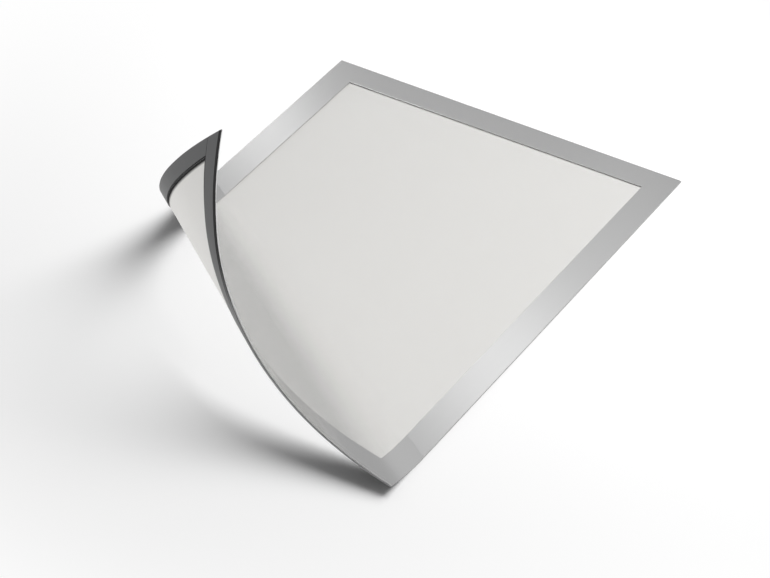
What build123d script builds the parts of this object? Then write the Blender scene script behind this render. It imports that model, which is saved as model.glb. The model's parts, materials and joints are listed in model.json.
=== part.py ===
"""Flexible magnetic frame for an A4 sheet, lying face up with its lower left corner curled over.

The origin is the centre of the frame's flat back face. +X runs along the short side, +Y along the
long side and +Z out of the front. The frame is a laminate: magnet strips at the back, a clear film
over the whole frame, and a silver border film on its front. The insert sheet lies against the back
of the film, inside the ring of magnet strips.

The corner curls in bend zones. All bend lines meet in one point beyond the left side, so each zone
is a sector of a cone round that point and still unrolls flat. Each zone is a rigid link, hinged on
its bend line at the back face, and every layer is cut there.
"""

import os
from math import atan2, cos, degrees, sin, sqrt

from build123d import *

# Insert sheet, and the frame round it
sheet_width = 210.0
sheet_height = 297.0
sheet_clearance = 1.0
strip_width = 12.0
border_width = 17.0

# Layers, from the back face to the front, with the glue between them
strip_thickness = 0.7
film_thickness = 0.2
border_thickness = 0.3
sheet_thickness = 0.25
sheet_play = 0.25
glue_line = 0.3
strip_end_gap = 0.2

# Curl: where the first bend line crosses the two long sides, measured up from the lower corners,
# how far beyond the left side the bend lines meet, and the back face's radii at the left side. The
# starting and the tight zones share one cone, and the last two zones open out towards the corner.
crease_height_left = 181.0
crease_height_right = 34.0
fan_reach = 395.0
start_zones = 2
tight_zones = 6
tight_share = 0.8
tight_radius = 46.5
opening_radius = 82.0
corner_radius = 130.0
hinge_gap = 0.5

# Frame size and the heights of the layers
frame_width = sheet_width + 2 * (sheet_clearance + strip_width)
frame_height = sheet_height + 2 * (sheet_clearance + strip_width)
film_base = strip_thickness + glue_line
border_base = film_base + film_thickness + glue_line
sheet_base = film_base - sheet_play - sheet_thickness
strip_layer = (0, strip_thickness)
film_layer = (film_base, film_base + film_thickness)
border_layer = (border_base, border_base + border_thickness)
sheet_layer = (sheet_base, sheet_base + sheet_thickness)

# The first bend line in the flat sheet, and the point where all bend lines meet
left_side = -frame_width / 2
right_side = frame_width / 2
bottom_side = -frame_height / 2
crease_fall = crease_height_right - crease_height_left
first_heading = atan2(crease_fall, frame_width)
fan_point = Vector(
    left_side - fan_reach * cos(first_heading),
    bottom_side + crease_height_left - fan_reach * sin(first_heading),
)


def fan_angle(x, y):
    """Angle from the first bend line to a point of the flat sheet, growing into the curl."""
    return first_heading - atan2(y - fan_point.Y, x - fan_point.X)


# Bend lines, as angles in the fan. The starting zones end on the strips' inner corner at the lower
# right. The tight zones go on to their share of the way to the inner corner that is curled over, one
# zone takes the rest of it, and the last zone is the frame's corner past it.
right_corner_angle = fan_angle(right_side - strip_width, bottom_side + strip_width)
inner_corner_angle = fan_angle(left_side + strip_width, bottom_side + strip_width)
corner_angle = fan_angle(left_side, bottom_side)
start_step = right_corner_angle / start_zones
tight_step = (tight_share * inner_corner_angle - right_corner_angle) / tight_zones
bend_angles = [start_step * i for i in range(start_zones)]
bend_angles += [right_corner_angle + tight_step * i for i in range(tight_zones + 1)]
bend_angles += [inner_corner_angle, corner_angle]
bend_radii = [tight_radius] * (start_zones + tight_zones) + [opening_radius, corner_radius]
last_zone = len(bend_radii) - 1
gap_angle = hinge_gap / 2 / fan_reach

# Each bend line's direction and the back face's inward normal there, turned from zone to zone
along = [Vector(cos(first_heading), sin(first_heading), 0)]
facing = [Vector(0, 0, 1)]
roll_axes = []
roll_rates = []
for zone, radius in enumerate(bend_radii):
    steepness = fan_reach / radius
    roll_axes.append(Axis(fan_point, -(along[zone] * steepness + facing[zone])))
    roll_rates.append(degrees(sqrt(1 + steepness**2)))
    turn = (bend_angles[zone + 1] - bend_angles[zone]) * roll_rates[zone]
    along.append(along[zone].rotate(roll_axes[zone], turn))
    facing.append(facing[zone].rotate(roll_axes[zone], turn))


def outline(inset):
    """Rectangle of the flat sheet, as left, right, bottom and top, set in from the frame's edge."""
    half_width = frame_width / 2 - inset
    half_height = frame_height / 2 - inset
    return -half_width, half_width, -half_height, half_height


def crossing(line, x=None, y=None):
    """Point on the curled back face where a bend line crosses the flat sheet's line at x or at y."""
    heading = first_heading - bend_angles[line]
    if y is None:
        reach = (x - fan_point.X) / cos(heading)
    else:
        reach = (y - fan_point.Y) / sin(heading)
    return fan_point + along[line] * reach


def flat_patch(rectangle, layer):
    """The stretch of a layer that lies flat, cut just before the first bend line."""
    left, right, bottom, top = rectangle
    low, high = layer
    cut_heading = degrees(first_heading + gap_angle)
    with BuildPart() as patch:
        with BuildSketch(Plane.XY.offset(low)):
            with Locations(((left + right) / 2, (bottom + top) / 2)):
                Rectangle(right - left, top - bottom)
        extrude(amount=high - low)
        if fan_angle(left, bottom) > 0:
            across = Vector(0, 1, 0).rotate(Axis.Z, cut_heading)
            split(bisect_by=Plane(origin=fan_point, z_dir=across), keep=Keep.TOP)
    return patch.part


def curled_patch(zone, rectangle, layer):
    """The stretch of a layer in one bend zone: a cone sector, trimmed along the rectangle's sides."""
    left, right, bottom, top = rectangle
    low, high = layer
    axis = roll_axes[zone]
    rate = roll_rates[zone]
    zone_angle = bend_angles[zone + 1] - bend_angles[zone]
    sweep = zone_angle if zone == last_zone else zone_angle - 2 * gap_angle
    start_along = along[zone].rotate(axis, gap_angle * rate)
    start_facing = facing[zone].rotate(axis, gap_angle * rate)
    middle_facing = facing[zone].rotate(axis, zone_angle / 2 * rate)
    near_reach = fan_reach / 2
    far_reach = fan_reach + frame_width + frame_height
    upper = min(top, bottom_side + crease_height_left)
    sides = (
        (crossing(zone, x=left), crossing(zone + 1, x=left)),
        (crossing(zone + 1, y=bottom), crossing(zone, y=bottom)),
        (crossing(zone + 1, x=right), crossing(zone, x=right)),
        (crossing(zone, y=upper), crossing(zone + 1, y=upper)),
    )
    profile = Plane(origin=fan_point, x_dir=start_along, z_dir=start_along.cross(start_facing))
    with BuildPart() as patch:
        with BuildSketch(profile):
            with Locations(((near_reach + far_reach) / 2, (low + high) / 2)):
                Rectangle(far_reach - near_reach, high - low)
        revolve(axis=axis, revolution_arc=sweep * rate)
        for start, end in sides:
            inward = middle_facing.cross(end - start)
            split(bisect_by=Plane(origin=start, z_dir=inward), keep=Keep.TOP)
    return patch.part


def zones_of(rectangle):
    """The bend zones that a rectangle of the flat sheet reaches into."""
    left, right, bottom, top = rectangle
    first = fan_angle(right, top) + 2 * gap_angle
    last = fan_angle(left, bottom) - 2 * gap_angle
    return [i for i in range(len(bend_radii)) if first < bend_angles[i + 1] and last > bend_angles[i]]


def save(piece, name):
    """Label a finished piece and write it under its own name."""
    piece.label = name
    export_step(piece, f"parts/{name}.step")


os.makedirs("parts", exist_ok=True)

# Outlines of the pieces in the flat sheet. The strips along the short sides run the full width,
# and those along the long sides fit between them.
whole_frame = outline(0)
window = outline(border_width)
insert = outline(strip_width + sheet_clearance)
top_side = whole_frame[3]
side_strip_bottom = bottom_side + strip_width + strip_end_gap
side_strip_top = top_side - strip_width - strip_end_gap
layers = {
    "window_film": (whole_frame, film_layer),
    "insert_sheet": (insert, sheet_layer),
    "top_magnet_strip": ((left_side, right_side, top_side - strip_width, top_side), strip_layer),
    "bottom_magnet_strip": (
        (left_side, right_side, bottom_side, bottom_side + strip_width),
        strip_layer,
    ),
    "left_magnet_strip": (
        (left_side, left_side + strip_width, side_strip_bottom, side_strip_top),
        strip_layer,
    ),
    "right_magnet_strip": (
        (right_side - strip_width, right_side, side_strip_bottom, side_strip_top),
        strip_layer,
    ),
}

# Film, insert sheet and magnet strips
for name, (rectangle, layer) in layers.items():
    zones = zones_of(rectangle)
    if fan_angle(rectangle[1], rectangle[3]) < 0:
        with BuildPart() as flat_piece:
            add(flat_patch(rectangle, layer))
        save(flat_piece.part, f"{name}_flat" if zones else name)
    for zone in zones:
        with BuildPart() as curled_piece:
            add(curled_patch(zone, rectangle, layer))
        save(curled_piece.part, f"{name}_curl_{zone + 1}")

# Silver border: the whole frame less the window
cut_layer = (border_layer[0] - glue_line, border_layer[1] + glue_line)
with BuildPart() as border_flat:
    add(flat_patch(whole_frame, border_layer))
    add(flat_patch(window, cut_layer), mode=Mode.SUBTRACT)
save(border_flat.part, "front_border_flat")
for zone in zones_of(whole_frame):
    with BuildPart() as border_link:
        add(curled_patch(zone, whole_frame, border_layer))
        if zone in zones_of(window):
            add(curled_patch(zone, window, cut_layer), mode=Mode.SUBTRACT)
    save(border_link.part, f"front_border_curl_{zone + 1}")
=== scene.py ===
import json
from math import atan2, ceil, cos, radians, sin, sqrt

import bmesh
import bpy
from mathutils import Matrix, Vector
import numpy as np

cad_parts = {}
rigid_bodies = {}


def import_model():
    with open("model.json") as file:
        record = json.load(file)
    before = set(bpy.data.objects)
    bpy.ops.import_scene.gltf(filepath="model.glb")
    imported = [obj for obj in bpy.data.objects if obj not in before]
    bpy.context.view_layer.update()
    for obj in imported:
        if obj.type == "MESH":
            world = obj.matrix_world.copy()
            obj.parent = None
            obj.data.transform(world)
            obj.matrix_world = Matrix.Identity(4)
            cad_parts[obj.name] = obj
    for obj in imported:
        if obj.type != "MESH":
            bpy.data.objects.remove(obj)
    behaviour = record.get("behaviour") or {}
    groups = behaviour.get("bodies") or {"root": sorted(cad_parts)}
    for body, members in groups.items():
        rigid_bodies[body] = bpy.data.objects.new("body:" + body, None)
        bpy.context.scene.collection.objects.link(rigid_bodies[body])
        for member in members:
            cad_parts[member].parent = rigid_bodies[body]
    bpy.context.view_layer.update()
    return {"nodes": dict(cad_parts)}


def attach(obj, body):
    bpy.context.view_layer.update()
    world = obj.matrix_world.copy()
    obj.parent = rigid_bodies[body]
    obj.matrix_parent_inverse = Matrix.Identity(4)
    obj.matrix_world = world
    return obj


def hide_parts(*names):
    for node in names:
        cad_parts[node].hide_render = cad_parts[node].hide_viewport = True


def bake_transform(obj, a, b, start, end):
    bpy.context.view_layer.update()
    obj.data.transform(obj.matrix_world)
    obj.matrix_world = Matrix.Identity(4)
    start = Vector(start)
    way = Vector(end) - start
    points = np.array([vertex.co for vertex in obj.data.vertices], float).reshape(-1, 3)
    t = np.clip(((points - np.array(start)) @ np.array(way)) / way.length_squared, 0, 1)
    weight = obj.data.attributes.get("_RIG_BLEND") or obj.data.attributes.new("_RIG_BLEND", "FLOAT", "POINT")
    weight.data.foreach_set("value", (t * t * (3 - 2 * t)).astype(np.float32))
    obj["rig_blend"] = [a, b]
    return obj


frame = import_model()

# Window film: one sheet of clear matt plastic, as large as the whole frame. Every other layer is
# glued to it or lies on it, so the curl of its corner is worked out here. The corner rolls over in
# zones, each a sector of a cone, and all bend lines meet in one point beyond the left side.
frame_width = 0.236
frame_height = 0.323
strip_width = 0.012
film_base = 0.00100
film_top = 0.00120
film_rounding = 0.00004
crease_height_left = 0.181
crease_height_right = 0.034
fan_reach = 0.395
start_zones = 2
tight_zones = 6
tight_share = 0.8
tight_radius = 0.0465
opening_radius = 0.082
corner_radius = 0.130
bend_radii = (tight_radius,) * (start_zones + tight_zones) + (opening_radius, corner_radius)
facet_turn = radians(1.1)
cross_cut_step = 0.014
cross_cut_reach = 0.4
sharp_edge_turn = radians(10)
end_margin = radians(0.5)
weld_distance = 1e-7

left_side = -frame_width / 2
right_side = frame_width / 2
bottom_side = -frame_height / 2
top_side = frame_height / 2
whole_frame = (left_side, right_side, bottom_side, top_side)
first_heading = atan2(crease_height_right - crease_height_left, frame_width)
fan_point = Vector((
    left_side - fan_reach * cos(first_heading),
    bottom_side + crease_height_left - fan_reach * sin(first_heading),
    0,
))


def fan_angle(x, y):
    """Angle from the first bend line to a point of the flat frame, growing into the curl."""
    return first_heading - atan2(y - fan_point.y, x - fan_point.x)


right_corner_angle = fan_angle(right_side - strip_width, bottom_side + strip_width)
inner_corner_angle = fan_angle(left_side + strip_width, bottom_side + strip_width)
corner_angle = fan_angle(left_side, bottom_side)
start_step = right_corner_angle / start_zones
tight_step = (tight_share * inner_corner_angle - right_corner_angle) / tight_zones
bend_lines = [start_step * i for i in range(start_zones)]
bend_lines += [right_corner_angle + tight_step * i for i in range(tight_zones + 1)]
bend_lines += [inner_corner_angle, corner_angle]

along = [Vector((cos(first_heading), sin(first_heading), 0))]
facing = [Vector((0, 0, 1))]
roll_axes = []
roll_rates = []
for zone, radius in enumerate(bend_radii):
    steepness = fan_reach / radius
    roll_axes.append(-(along[zone] * steepness + facing[zone]).normalized())
    roll_rates.append(sqrt(1 + steepness**2))
    zone_turn = (bend_lines[zone + 1] - bend_lines[zone]) * roll_rates[zone]
    rolled = Matrix.Rotation(zone_turn, 3, roll_axes[zone])
    along.append(rolled @ along[zone])
    facing.append(rolled @ facing[zone])


def curled(place):
    """Where a point of the flat frame lies at rest, with the corner rolled over."""
    angle = fan_angle(place.x, place.y)
    if angle <= 0:
        return place.copy()
    zone = max(i for i in range(len(bend_radii)) if bend_lines[i] <= angle)
    reach = Vector((place.x - fan_point.x, place.y - fan_point.y)).length
    rolled = Matrix.Rotation((angle - bend_lines[zone]) * roll_rates[zone], 3, roll_axes[zone])
    return fan_point + rolled @ (along[zone] * reach + facing[zone] * place.z)


def plane_cut(stock, place, outward, **clear):
    """Cut a flat blank along a plane, and give back what lies in the cut."""
    return bmesh.ops.bisect_plane(
        stock,
        geom=stock.verts[:] + stock.edges[:] + stock.faces[:],
        dist=weld_distance,
        plane_co=place,
        plane_no=outward,
        **clear,
    )["geom_cut"]


def line_cut(stock, angle, **clear):
    """Cut a flat blank along the bend line at an angle of the fan."""
    heading = first_heading - angle
    return plane_cut(stock, fan_point, (sin(heading), -cos(heading), 0), **clear)


def close_cut(stock, cut, joint_end=0):
    """Close the opening that a cut has left. A joint end is one that meets the next stretch."""
    rim = [part for part in cut if isinstance(part, bmesh.types.BMEdge) and part.is_boundary]
    joint_layer = stock.faces.layers.float["joint_end"]
    for face in bmesh.ops.holes_fill(stock, edges=rim)["faces"]:
        face[joint_layer] = joint_end


def flat_blank(outline, low, high, rounding, rim=None):
    """A layer cut out flat, as a closed solid with eased edges. With a rim, only a ring is left."""
    left, right, bottom, top = outline
    blank = bmesh.new()
    blank.faces.layers.float.new("joint_end")
    bmesh.ops.create_grid(blank, x_segments=1, y_segments=1, size=0.5)
    bmesh.ops.scale(blank, vec=(right - left, top - bottom, 1), verts=blank.verts)
    middle = ((left + right) / 2, (bottom + top) / 2, low)
    bmesh.ops.translate(blank, vec=middle, verts=blank.verts)
    if rim:
        ring = bmesh.ops.inset_region(
            blank, faces=blank.faces[:], thickness=rim, use_even_offset=True, use_boundary=True
        )["faces"]
        opening = [face for face in blank.faces if face not in ring]
        bmesh.ops.delete(blank, geom=opening, context="FACES")
    raised = bmesh.ops.extrude_face_region(blank, geom=blank.faces[:])["geom"]
    raised = [part for part in raised if isinstance(part, bmesh.types.BMVert)]
    bmesh.ops.translate(blank, vec=(0, 0, high - low), verts=raised)
    bmesh.ops.recalc_face_normals(blank, faces=blank.faces)
    corners = [edge for edge in blank.edges if edge.calc_face_angle(0) > sharp_edge_turn]
    bmesh.ops.bevel(
        blank, geom=corners, offset=rounding, offset_type="OFFSET", affect="EDGES",
        segments=2, profile=0.5, material=-1,
    )
    return blank


# The stretches between the middles of the zones: each one bends across one hinge of the frame
stretch_lines = [0.0]
stretch_lines += [(a + b) / 2 for a, b in zip(bend_lines, bend_lines[1:])]
stretch_lines += [corner_angle + end_margin]
bodies = ["sheet"] + [f"curl_{i + 1}" for i in range(len(bend_radii))]


def bend_span(first, last):
    """The points between which a stretch turns: its lines' ends on the left side, square across."""
    ends = []
    for angle in (first, last):
        slope = sin(first_heading - angle) / cos(first_heading - angle)
        ends.append(Vector((left_side, fan_point.y + slope * (left_side - fan_point.x), 0)))
    start, end = map(curled, ends)
    middle = first_heading - (first + last) / 2
    way = Vector((cos(middle), sin(middle), 0))
    near, far = fan_point + way * fan_reach, fan_point + way * fan_reach * 2
    way = (curled(far) - curled(near)).normalized()
    across = end - start
    return start, start + across - way * across.dot(way)


def stretch_stock(blank, stretch):
    """Flat stock for one stretch of a layer, cut finely enough to roll. Stretch 0 stays flat."""
    stock = blank.copy()
    if stretch == 0:
        close_cut(stock, line_cut(stock, 0, clear_outer=True), joint_end=1)
        return stock
    first, last = stretch_lines[stretch - 1], stretch_lines[stretch]
    close_cut(stock, line_cut(stock, first, clear_inner=True), joint_end=1)
    close_cut(stock, line_cut(stock, last, clear_outer=True), joint_end=1)
    turn = (last - first) * roll_rates[min(stretch, len(roll_rates)) - 1]
    facets = ceil(turn / facet_turn)
    for step in range(1, facets):
        line_cut(stock, first + (last - first) * step / facets)
    way = Vector((cos(first_heading - first), sin(first_heading - first), 0))
    for step in range(1, ceil(cross_cut_reach / cross_cut_step)):
        plane_cut(stock, fan_point + way * (fan_reach + step * cross_cut_step), way)
    return stock


def finished_piece(name, stock, finish):
    """Turn a flat piece of stock into an object: mark its edges, roll it and give it its finish."""
    place_layer = stock.verts.layers.float_vector.new("flat_place")
    for edge in stock.edges:
        edge.smooth = edge.calc_face_angle(0) < sharp_edge_turn
    for face in stock.faces:
        face.smooth = True
    for vert in stock.verts:
        vert[place_layer] = vert.co
        vert.co = curled(vert.co)
    mesh = bpy.data.meshes.new(name)
    stock.to_mesh(mesh)
    stock.free()
    mesh.materials.append(finish)
    piece = bpy.data.objects.new(name, mesh)
    bpy.context.scene.collection.objects.link(piece)
    return piece


def laid_layer(name, blank, finish):
    """Cut a flat blank into its flat part and its stretches, roll them and join them to the bodies.

    A solid of the frame is stood for by the first stretch that reaches it.
    """
    waiting = {node: 0 for node in (name, f"{name}_flat") if node in frame["nodes"]}
    for i in range(1, len(bodies)):
        if f"{name}_curl_{i}" in frame["nodes"]:
            waiting[f"{name}_curl_{i}"] = i
    for i in range(len(stretch_lines)):
        stock = stretch_stock(blank, i)
        if not stock.faces:
            stock.free()
            continue
        piece = finished_piece(f"{name}_{i}", stock, finish)
        if i == 0:
            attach(piece, bodies[0])
        elif i < len(bodies):
            start, end = bend_span(stretch_lines[i - 1], stretch_lines[i])
            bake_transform(piece, bodies[i - 1], bodies[i], start=start, end=end)
        else:
            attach(piece, bodies[-1])
        stood_for = [node for node, stretch in waiting.items() if stretch <= i]
        if stood_for:
            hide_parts(*stood_for)
        for node in stood_for:
            del waiting[node]
    blank.free()


class Shade:
    """A socket of a node tree. Sums on it add Math nodes, and node() adds any other kind."""

    def __init__(self, tree, socket=None):
        self.tree = tree
        self.socket = socket

    def node(self, kind, settings=None, inputs=None, output=0):
        made = self.tree.nodes.new(kind)
        for setting, value in (settings or {}).items():
            setattr(made, setting, value)
        for name, value in (inputs or {}).items():
            if isinstance(value, Shade):
                self.tree.links.new(value.socket, made.inputs[name])
            else:
                made.inputs[name].default_value = value
        return Shade(self.tree, made.outputs[output] if made.outputs else None)

    def maths(self, operation, first, second=0):
        return self.node("ShaderNodeMath", {"operation": operation}, {0: first, 1: second})

    def __add__(self, other):
        return self.maths("ADD", self, other)

    def __sub__(self, other):
        return self.maths("SUBTRACT", self, other)

    def __rsub__(self, other):
        return self.maths("SUBTRACT", other, self)

    def __mul__(self, other):
        return self.maths("MULTIPLY", self, other)

    def __abs__(self):
        return self.maths("ABSOLUTE", self)

    def __gt__(self, limit):
        return self.maths("GREATER_THAN", self, limit)

    __radd__ = __add__
    __rmul__ = __mul__


def new_finish(name):
    """An empty material, and the start of its node tree."""
    finish = bpy.data.materials.new(name)
    finish.use_nodes = True
    finish.node_tree.nodes.clear()
    return finish, Shade(finish.node_tree)


def fine_grain(shade, scale, detail, strength, depth):
    """Grain that stays with a flat layer as it rolls: the place on it, the grain and its relief."""
    place = shade.node("ShaderNodeAttribute", {"attribute_name": "flat_place"}, output="Vector")
    grain = shade.node(
        "ShaderNodeTexNoise", inputs={"Vector": place, "Scale": scale, "Detail": detail}
    )
    relief = shade.node(
        "ShaderNodeBump", inputs={"Strength": strength, "Distance": depth, "Height": grain}
    )
    return place, grain, relief


def lamp_rays(shade):
    """1 for rays that carry the lamps' light past a piece, and 0 for the camera's own rays."""
    shadow_rays = shade.node("ShaderNodeLightPath", output="Is Shadow Ray")
    return shadow_rays + shade.node("ShaderNodeLightPath", output="Is Diffuse Ray")


def mixed_surface(shade, share, first, second):
    """A surface that is a share of the way from one surface to another."""
    return shade.node("ShaderNodeMixShader", inputs={0: share, 1: first, 2: second})


# The film hides little of the sheet from straight above and more at a slant, and lets light past. What shows
# at a slant is a soft gloss and a dark grey, which is painted shade for the darkening of the rolled corner.
slant_shade_grey = (0.15, 0.152, 0.15, 1)
film_roughness = 0.42
haze_roughness = 0.06
slant_shade_cover = 5.0
haze_cover = 0.02
most_cover = 0.38
cover_ease = 0.35
mirror_ray_share = 0.3
film_lamp_share = 0.95
film_finish, film = new_finish("matt_clear_film")
_, film_haze, film_relief = fine_grain(
    film, scale=1800.0, detail=2.0, strength=0.03, depth=0.00002
)
film_slant = film.node("ShaderNodeLayerWeight", inputs={"Blend": 0.5}, output="Facing")
film_joint = film.node("ShaderNodeAttribute", {"attribute_name": "joint_end"}, output="Fac")
mirror_rays = film.node("ShaderNodeLightPath", output="Is Glossy Ray")
film_rays = lamp_rays(film) + mirror_rays * mirror_ray_share
film_steep = film_slant * film_slant
# Painted shade: the grey shows more where the film is seen at a slant, which darkens the rising curl
film_shade_and_gloss_share = film.node("ShaderNodeMath", {"operation": "SMOOTH_MIN"}, {
    0: film_steep * film_steep * slant_shade_cover + film_haze * haze_cover, 1: most_cover, 2: cover_ease,
})
film_gloss = film.node("ShaderNodeBsdfPrincipled", inputs={
    "Base Color": slant_shade_grey,
    "Roughness": film_haze * haze_roughness + film_roughness,
    "Specular IOR Level": 0.25,
    "Normal": film_relief,
})
film_body = mixed_surface(
    film,
    film_shade_and_gloss_share * (1 - film_joint) * (1 - film_rays * film_lamp_share),
    film.node("ShaderNodeBsdfTransparent"),
    film_gloss,
)
film.node("ShaderNodeOutputMaterial", inputs={"Surface": film_body})
laid_layer(
    "window_film",
    flat_blank(whole_frame, film_base, film_top, film_rounding),
    film_finish,
)

# Front border: a ring of satin silver film, cut in one piece and glued on the front of the window
# film. Its own thickness and the glue under it stand proud of the window as a fine edge, which is
# bright beside the window and matt round the outside.
border_width = 0.017
border_base = 0.00122
border_top = 0.00180
border_rounding = 0.00004
border_skin = 0.000005
glue_height = 0.00005
outer_edge_depth = 0.0003
right_rim = 0.0012
silver_dark = (0.62, 0.62, 0.62, 1)
silver_light = (0.70, 0.70, 0.70, 1)
glue_dark = (0.02, 0.02, 0.02, 1)
satin_roughness = 0.19
satin_grain = 0.05
matt_edge = 0.5


def layer_reaches(shade, place):
    """How far along, up and above the back face a place on a flat layer is."""
    return [shade.node("ShaderNodeSeparateXYZ", inputs={0: place}, output=axis) for axis in "XYZ"]


def mixed_colour(shade, share, first, second):
    """A colour that is a share of the way from one colour to another."""
    return shade.node(
        "ShaderNodeMix", {"data_type": "RGBA"}, {0: share, 6: first, 7: second}, output=2
    )


silver_finish, silver = new_finish("satin_silver_film")
silver_place, silver_grain, silver_relief = fine_grain(
    silver, scale=2600.0, detail=3.0, strength=0.06, depth=0.00002
)
silver_along, silver_up, silver_height = layer_reaches(silver, silver_place)
silver_reach = silver.maths("MAXIMUM", abs(silver_along) - right_side, abs(silver_up) - top_side)
outer_edge = silver_reach > -outer_edge_depth
silver_skin = silver_height > border_top - border_skin
silver_wall = silver_height > border_base + glue_height
silver_metal = silver.maths("MAXIMUM", silver_skin, silver_wall * (1 - outer_edge))
silver_colour = mixed_colour(silver, silver_grain, silver_dark, silver_light)
silver_body = silver.node("ShaderNodeBsdfPrincipled", inputs={
    "Base Color": mixed_colour(silver, silver_wall, glue_dark, silver_colour),
    "Metallic": silver_metal,
    "Roughness": silver_grain * satin_grain + (1 - silver_metal) * matt_edge + satin_roughness,
    "Normal": silver_relief,
})
# The thin rim on the right lets the light of the lamps past, so no dark line lies along it
silver_face = mixed_surface(
    silver,
    (silver_along > right_side - right_rim) * lamp_rays(silver),
    silver_body,
    silver.node("ShaderNodeBsdfTransparent"),
)
silver.node("ShaderNodeOutputMaterial", inputs={"Surface": silver_face})
laid_layer(
    "front_border",
    flat_blank(whole_frame, border_base, border_top, border_rounding, border_width),
    silver_finish,
)

# Magnet strips: four flat strips of black ferrite rubber, glued along the edges of the film's back.
# The two on the short sides run the full width, and the other two fit between them. Their outer edges are
# cut at a slope. The cut edges carry painted light that turns them pale towards the right, and on the left
# they are near-black, partly the rubber's own dark and partly painted shade.
strip_base = 0.0
strip_top = 0.00098
strip_rounding = 0.00010
strip_end_gap = 0.0002
strip_slope = 0.0009
strip_skin = 0.00006
painted_light_start = -0.05
painted_light_end = 0.04
rubber_dark = (0.032, 0.033, 0.034, 1)
rubber_light = (0.056, 0.057, 0.059, 1)
black_and_shaded_cut = (0.012, 0.012, 0.012, 1)
painted_lit_cut = (0.30, 0.30, 0.30, 1)
rubber_roughness = 0.36
rubber_grain_roughness = 0.10


def smooth_rise(shade, value, start, end):
    """A share that rises smoothly from 0 to 1 while a value goes from its start to its end."""
    return shade.node(
        "ShaderNodeMapRange",
        {"interpolation_type": "SMOOTHSTEP"},
        {"Value": value, "From Min": start, "From Max": end},
    )


rubber_finish, rubber = new_finish("magnet_rubber")
rubber_place, rubber_grain, rubber_relief = fine_grain(
    rubber, scale=1500.0, detail=4.0, strength=0.15, depth=0.00005
)
rubber_along, _, rubber_height = layer_reaches(rubber, rubber_place)
rubber_colour = mixed_colour(rubber, rubber_grain, rubber_dark, rubber_light)
# Painted light and shade: the cut edges go from near-black on the left to pale on the right
cut_painted_light = smooth_rise(rubber, rubber_along, painted_light_start, painted_light_end)
cut_colour = mixed_colour(rubber, cut_painted_light, black_and_shaded_cut, painted_lit_cut)
rubber_body = rubber.node("ShaderNodeBsdfPrincipled", inputs={
    "Base Color": mixed_colour(rubber, rubber_height > strip_skin, rubber_colour, cut_colour),
    "Roughness": rubber_grain * rubber_grain_roughness + rubber_roughness,
    "Sheen Weight": 0.5,
    "Sheen Roughness": 0.35,
    "Normal": rubber_relief,
})
rubber_face = mixed_surface(
    rubber,
    (rubber_along > right_side - right_rim) * lamp_rays(rubber),
    rubber_body,
    rubber.node("ShaderNodeBsdfTransparent"),
)
rubber.node("ShaderNodeOutputMaterial", inputs={"Surface": rubber_face})
side_strip_ends = (
    bottom_side + strip_width + strip_end_gap,
    top_side - strip_width - strip_end_gap,
)
for strip, outline in {
    "top_magnet_strip": (left_side, right_side, top_side - strip_width, top_side),
    "bottom_magnet_strip": (left_side, right_side, bottom_side, bottom_side + strip_width),
    "left_magnet_strip": (left_side, left_side + strip_width, *side_strip_ends),
    "right_magnet_strip": (right_side - strip_width, right_side, *side_strip_ends),
}.items():
    blank = flat_blank(outline, strip_base, strip_top, strip_rounding)
    for across, up in ((1, 0), (-1, 0), (0, 1), (0, -1)):
        slope_top = (across * right_side, up * top_side, strip_slope)
        close_cut(blank, plane_cut(blank, slope_top, (across, up, -1), clear_outer=True))
    laid_layer(strip, blank, rubber_finish)

# Insert sheet: a blank white A4 page, slipped in from behind. It lies loose against the film, inside the
# ring of magnet strips, and its edges carry painted shade for the shadow in the narrow gap that is left
# round it.
sheet_clearance = 0.001
sheet_inset = strip_width + sheet_clearance
sheet_base = 0.00050
sheet_top = 0.00098
sheet_rounding = 0.00004
long_side_shade = (-0.0034, -0.0008)
short_side_shade = (-0.0012, -0.0002)
paper_dark = (0.810, 0.801, 0.780, 1)
paper_pale = (0.838, 0.829, 0.808, 1)
painted_gap_shadow = (0.005, 0.005, 0.005, 1)
paper_lamp_share = 0.98
sheet_half_width = right_side - sheet_inset
sheet_half_height = top_side - sheet_inset
sheet_outline = (-sheet_half_width, sheet_half_width, -sheet_half_height, sheet_half_height)
paper_finish, paper = new_finish("white_paper")
paper_place, paper_fibre, paper_relief = fine_grain(
    paper, scale=700.0, detail=4.0, strength=0.1, depth=0.00003
)
paper_along, paper_up, _ = layer_reaches(paper, paper_place)
# Painted shade: the paper goes near-black towards its edges for the shadow in the gap, wider on the long
# sides
paper_shade = paper.maths(
    "MAXIMUM",
    smooth_rise(paper, abs(paper_along) - sheet_half_width, *long_side_shade),
    smooth_rise(paper, abs(paper_up) - sheet_half_height, *short_side_shade),
)
paper_colour = mixed_colour(paper, paper_fibre, paper_dark, paper_pale)
paper_face = paper.node("ShaderNodeBsdfPrincipled", inputs={
    "Base Color": mixed_colour(paper, paper_shade, paper_colour, painted_gap_shadow),
    "Roughness": 0.85,
    "Specular IOR Level": 0.2,
    "Normal": paper_relief,
})
paper_body = mixed_surface(
    paper,
    lamp_rays(paper) * paper_lamp_share,
    paper_face,
    paper.node("ShaderNodeBsdfTransparent"),
)
paper.node("ShaderNodeOutputMaterial", inputs={"Surface": paper_body})
laid_layer(
    "insert_sheet",
    flat_blank(sheet_outline, sheet_base, sheet_top, sheet_rounding),
    paper_finish,
)

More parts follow.
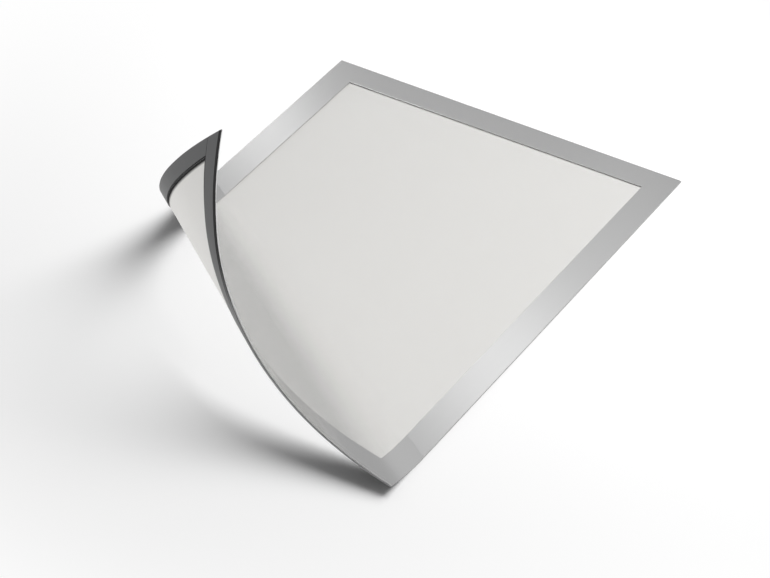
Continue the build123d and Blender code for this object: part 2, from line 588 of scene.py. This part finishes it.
# Table: a plain white top that runs past the edge of the picture. It keeps the shadows close to the
# frame and turns plain white farther out, and shiny pieces see it evenly lit.
table_size = 12.0
table_drop = 0.00005
table_fade_start = 0.18
table_fade_end = 0.38
table_bounce = (0.70, 0.70, 0.70, 1)
table_seen = (0.98, 0.98, 0.98, 1)
plain_white = (1, 1, 1, 1)
mirrored_strength = 0.62
mirrored_share = 0.85
table_finish, table = new_finish("white_table")
camera_rays = table.node("ShaderNodeLightPath", output="Is Camera Ray")
table_colour = mixed_colour(table, camera_rays, table_bounce, table_seen)
table_body = table.node("ShaderNodeBsdfDiffuse", inputs={"Color": table_colour})
table_place = table.node("ShaderNodeTexCoord", output="Object")
table_reach = table.node(
    "ShaderNodeVectorMath", {"operation": "LENGTH"}, {0: table_place}, output="Value"
)
table_fade = smooth_rise(table, table_reach, table_fade_start, table_fade_end)
table_white = table.node("ShaderNodeEmission", inputs={"Color": plain_white, "Strength": 1.0})
table_near = mixed_surface(table, camera_rays * table_fade, table_body, table_white)
table_mirrored = table.node(
    "ShaderNodeEmission", inputs={"Color": plain_white, "Strength": mirrored_strength}
)
table_shine = table.node("ShaderNodeLightPath", output="Is Glossy Ray")
table_face = mixed_surface(table, table_shine * mirrored_share, table_near, table_mirrored)
table.node("ShaderNodeOutputMaterial", inputs={"Surface": table_face})
top = bmesh.new()
bmesh.ops.create_grid(top, x_segments=1, y_segments=1, size=table_size / 2)
bmesh.ops.translate(top, vec=(0, 0, -table_drop), verts=top.verts)
table_mesh = bpy.data.meshes.new("table_top")
top.to_mesh(table_mesh)
top.free()
table_mesh.materials.append(table_finish)
table_top = bpy.data.objects.new("table_top", table_mesh)
bpy.context.scene.collection.objects.link(table_top)

# Light: a soft room, which shiny pieces see as even, one large lamp high above the far right side,
# and a low one on the near left that lights the frame alone. Behind the frame, narrow lamps draw a
# soft band across the flat silver, and one more lights the curled silver.
room_bright_side = (-0.20, 0.94, 0.27)
room_rise_start = 0.10
room_rise_end = 0.75
room_low = 0.12
room_gain = 0.40
band_roll = radians(42.3)
bpy.context.scene.view_settings.view_transform = "Standard"
room = bpy.data.worlds.new("soft_room")
room.use_nodes = True
bpy.context.scene.world = room
room.node_tree.nodes.clear()
air = Shade(room.node_tree)
air_way = air.node("ShaderNodeTexCoord", output="Generated")
air_side = air.node(
    "ShaderNodeVectorMath",
    {"operation": "DOT_PRODUCT"},
    {0: air_way, 1: room_bright_side},
    output="Value",
)
air_rise = smooth_rise(air, air_side, room_rise_start, room_rise_end)
air_shine = air.node("ShaderNodeLightPath", output="Is Glossy Ray")
air_strength = air.maths("MAXIMUM", air_rise, air_shine) * room_gain + room_low
glow = air.node("ShaderNodeBackground", inputs={"Color": plain_white, "Strength": air_strength})
air.node("ShaderNodeOutputWorld", inputs={"Surface": glow})

frame_pieces = bpy.data.collections.new("frame_pieces")
flat_silver = bpy.data.collections.new("flat_silver")
curled_silver = bpy.data.collections.new("curled_silver")
for piece in bpy.data.objects:
    if piece.type == "MESH" and piece != table_top:
        frame_pieces.objects.link(piece)
    if piece.name == "front_border_0":
        flat_silver.objects.link(piece)
    elif piece.name.startswith("front_border_") and piece.name not in frame["nodes"]:
        curled_silver.objects.link(piece)


def soft_lamp(name, place, aim, width, length, power, roll=0.0, lit=None):
    """A rectangular lamp, pointed at a spot, turned about its own axis and kept to some pieces."""
    lamp = bpy.data.lights.new(name, "AREA")
    lamp.shape = "RECTANGLE"
    lamp.size = width
    lamp.size_y = length
    lamp.energy = power
    holder = bpy.data.objects.new(name, lamp)
    bpy.context.scene.collection.objects.link(holder)
    holder.location = place
    holder.visible_camera = False
    turned = (Vector(aim) - Vector(place)).to_track_quat("-Z", "Y").to_matrix()
    holder.rotation_euler = (turned @ Matrix.Rotation(roll, 3, "Z")).to_euler()
    if lit is not None:
        holder.light_linking.receiver_collection = lit
    return holder


main_lamp = soft_lamp(
    "main_lamp", (0.28, 0.67, 1.045), (0, 0, 0), width=1.0, length=1.0, power=18.3
)
main_lamp.visible_glossy = False
soft_lamp(
    "side_lamp", (-0.75, -0.95, 0.13), (-0.08, -0.10, 0.06),
    width=1.6, length=0.22, power=7.9, lit=frame_pieces,
)
soft_lamp(
    "left_band_lamp", (-0.549, 0.662, 0.486), (-0.143, 0.016, -0.104),
    width=0.06, length=0.22, power=0.058, roll=band_roll, lit=flat_silver,
)
soft_lamp(
    "right_band_lamp", (-0.183, 0.658, 0.751), (0.223, 0.012, 0.161),
    width=0.11, length=0.55, power=0.20, roll=band_roll, lit=flat_silver,
)
soft_lamp(
    "right_rise_lamp", (-0.120, 0.727, 0.677), (0.232, 0.056, 0.088),
    width=0.16, length=0.40, power=0.045, roll=band_roll, lit=flat_silver,
)
soft_lamp(
    "corner_lamp", (-0.214, 0.590, 0.545), (0.10, -0.135, 0),
    width=0.45, length=0.45, power=0.110, roll=band_roll, lit=curled_silver,
)

# Camera: a long lens that looks down on the frame from the near right, at the height and from the
# side from which the frame was photographed.
camera_place = Vector((0.81409, -1.28166, 1.17902))
camera_aim = Vector((0.023603, -0.015037, 0))
lens = bpy.data.cameras.new("photo_camera")
lens.lens = 158.09
lens.sensor_width = 36.0
camera = bpy.data.objects.new("photo_camera", lens)
camera.location = camera_place
camera.rotation_euler = (camera_aim - camera_place).to_track_quat("-Z", "Y").to_euler()
bpy.context.scene.collection.objects.link(camera)
bpy.context.scene.camera = camera
